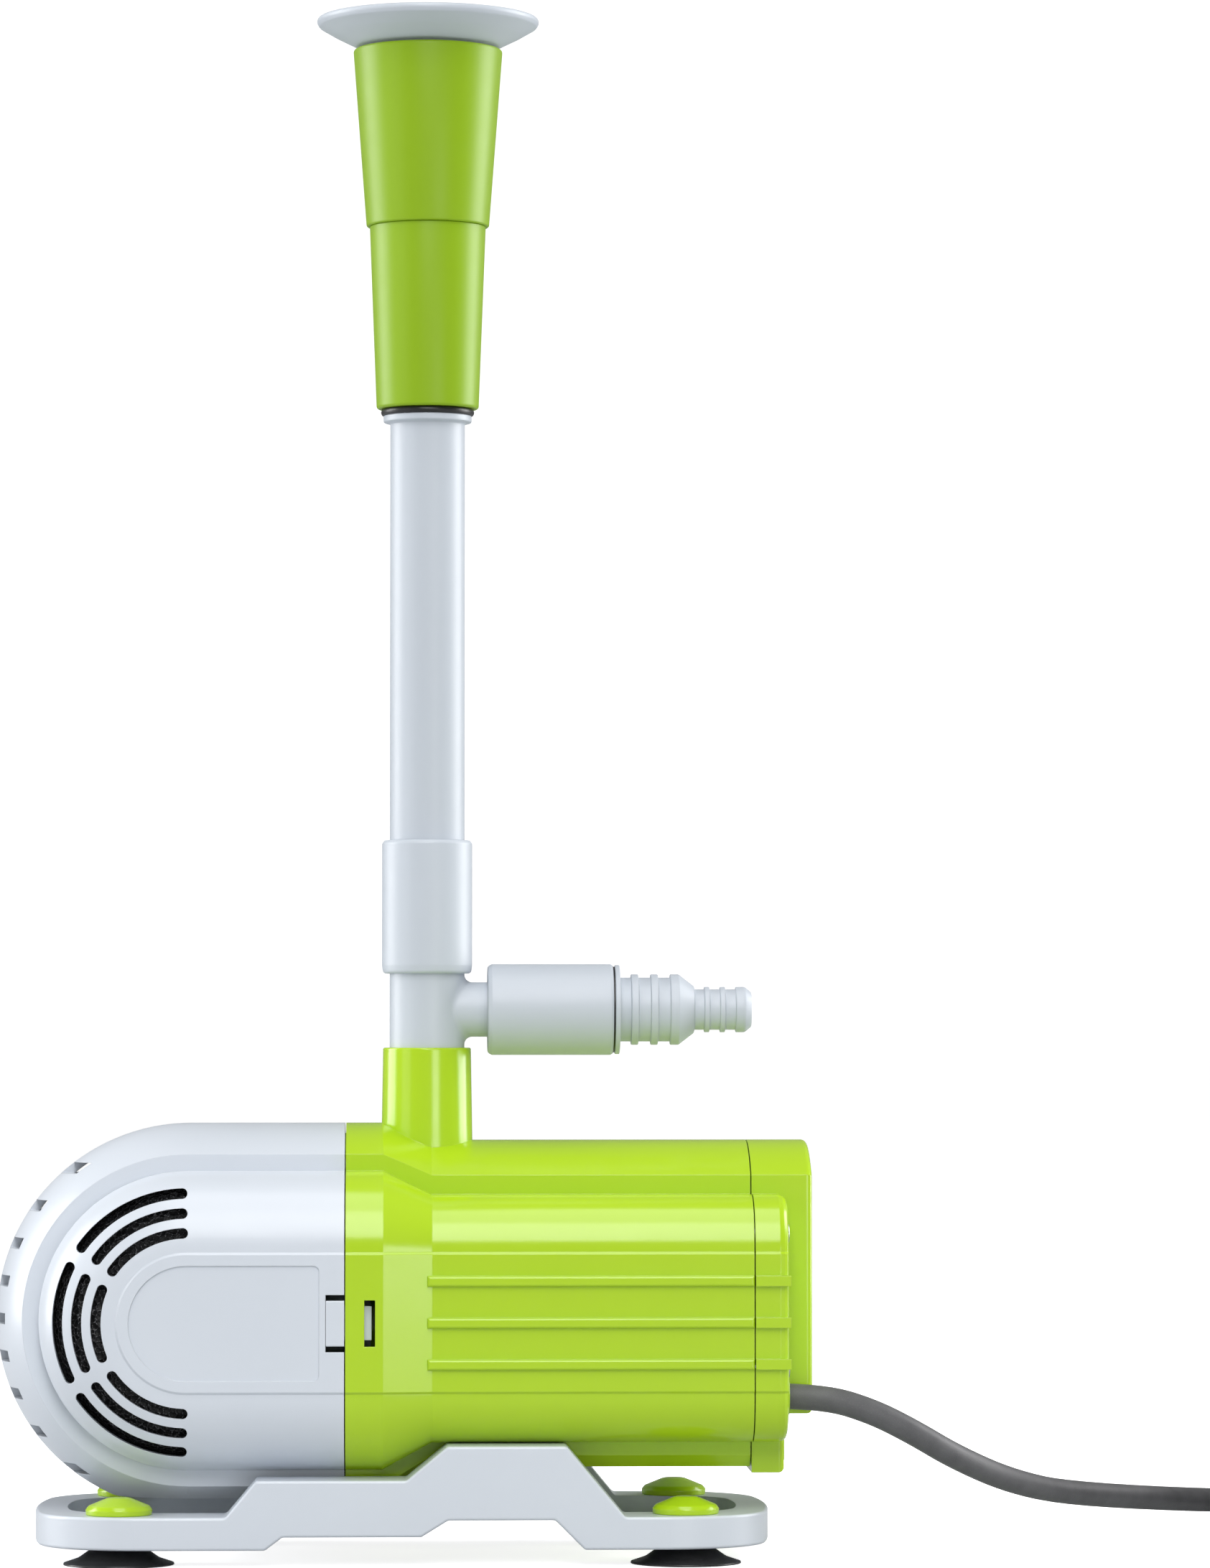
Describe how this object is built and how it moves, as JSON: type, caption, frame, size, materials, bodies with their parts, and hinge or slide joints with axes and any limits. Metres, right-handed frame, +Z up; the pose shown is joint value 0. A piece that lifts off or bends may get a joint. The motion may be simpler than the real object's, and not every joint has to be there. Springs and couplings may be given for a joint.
{
  "type": "fountain submersible pump",
  "caption": "Submersible pond pump on a suction-cup base, with a slotted filter cage, side outlet with regulator and hose tail, riser tube, bell nozzle and mains cable.",
  "frame": {"origin": "on the floor under the middle of the pump, without its cable", "axes": "+Z up along the riser, +X along the motor axis towards the cable end, -Y the side with the near latch"},
  "size_m": [0.5279, 0.2246, 0.4401],
  "materials": {
    "grey_plastic": "satin moulded plastic, light grey",
    "lime_plastic": "satin moulded plastic, lime green",
    "black_rubber": "matte",
    "black_foam": "coarse open-cell foam",
    "dark_plastic": "satin",
    "screw_steel": "brushed",
    "magnet_ferrite": "dull sintered ferrite",
    "ceramic": "polished ceramic",
    "core_steel": "laminated steel",
    "coil_copper": "enamelled copper wire",
    "cable_rubber": "fine-grained rubber",
    "pin_brass": "nickel-plated brass"
  },
  "bodies": {
    "pump": {"base_frame": "grey_plastic", "suction_cup_1": "black_rubber", "suction_cup_2": "black_rubber", "suction_cup_3": "black_rubber", "suction_cup_4": "black_rubber", "cup_button_1": "lime_plastic", "cup_button_2": "lime_plastic", "cup_button_3": "lime_plastic", "cup_button_4": "lime_plastic", "pump_housing": "lime_plastic", "rear_cap": "lime_plastic", "cap_screws": "screw_steel", "impeller_cover": "grey_plastic", "cover_seal": "black_rubber", "ceramic_shaft": "ceramic", "front_bearing": "black_rubber", "rear_bearing": "black_rubber", "rotor_can": "dark_plastic", "stator_core": "core_steel", "stator_coils": "coil_copper", "coil_bobbins": "dark_plastic", "cable_run": "cable_rubber", "cable_coil": "cable_rubber", "cable_tail": "cable_rubber", "cable_gland": "black_rubber", "mains_plug": "cable_rubber", "plug_pins": "pin_brass"},
    "cage": {"filter_cage": "grey_plastic", "filter_foam": "black_foam"},
    "tab_near": {"latch_tab_near": "grey_plastic"},
    "tab_far": {"latch_tab_far": "grey_plastic"},
    "rotor": {"impeller": "dark_plastic", "rotor_magnet": "magnet_ferrite"},
    "column": {"tee_piece": "grey_plastic", "riser_coupler": "grey_plastic", "riser_tube": "grey_plastic", "nozzle_seal": "black_rubber"},
    "regulator": {"regulator_sleeve": "grey_plastic", "tail_gasket": "black_rubber"},
    "tail": {"hose_tail": "grey_plastic"},
    "nozzle": {"nozzle_adapter": "lime_plastic", "nozzle_shell": "lime_plastic"},
    "disc": {"bell_disc": "grey_plastic"}
  },
  "joints": [
    {"name": "cage_slide", "type": "slide", "parent": "pump", "child": "cage", "axis": [-1, 0, 0], "range_m": [0, 0.1]},
    {"name": "tab_near_press", "type": "hinge", "parent": "cage", "child": "tab_near", "pos_m": [-0.0215, -0.0494, 0.0675], "axis": [0, 0, 1], "range_deg": [0, 4], "stiffness_Nm_per_rad": 0.3},
    {"name": "tab_far_press", "type": "hinge", "parent": "cage", "child": "tab_far", "pos_m": [-0.0215, 0.0494, 0.0675], "axis": [0, 0, -1], "range_deg": [0, 4], "stiffness_Nm_per_rad": 0.3},
    {"name": "rotor_spin", "type": "hinge", "parent": "pump", "child": "rotor", "pos_m": [0, 0, 0.0675], "axis": [1, 0, 0], "continuous": true},
    {"name": "tee_swivel", "type": "hinge", "parent": "pump", "child": "column", "pos_m": [0.0069, 0, 0.13], "axis": [0, 0, 1], "continuous": true},
    {"name": "regulator_turn", "type": "hinge", "parent": "column", "child": "regulator", "pos_m": [0.0259, 0, 0.1549], "axis": [1, 0, 0], "range_deg": [0, 90]},
    {"name": "hose_tail_pull", "type": "slide", "parent": "regulator", "child": "tail", "axis": [1, 0, 0], "range_m": [0, 0.03]},
    {"name": "nozzle_lift", "type": "slide", "parent": "column", "child": "nozzle", "axis": [0, 0, 1], "range_m": [0, 0.04]},
    {"name": "disc_adjust", "type": "slide", "parent": "nozzle", "child": "disc", "axis": [0, 0, 1], "range_m": [0, 0.008]}
  ]
}
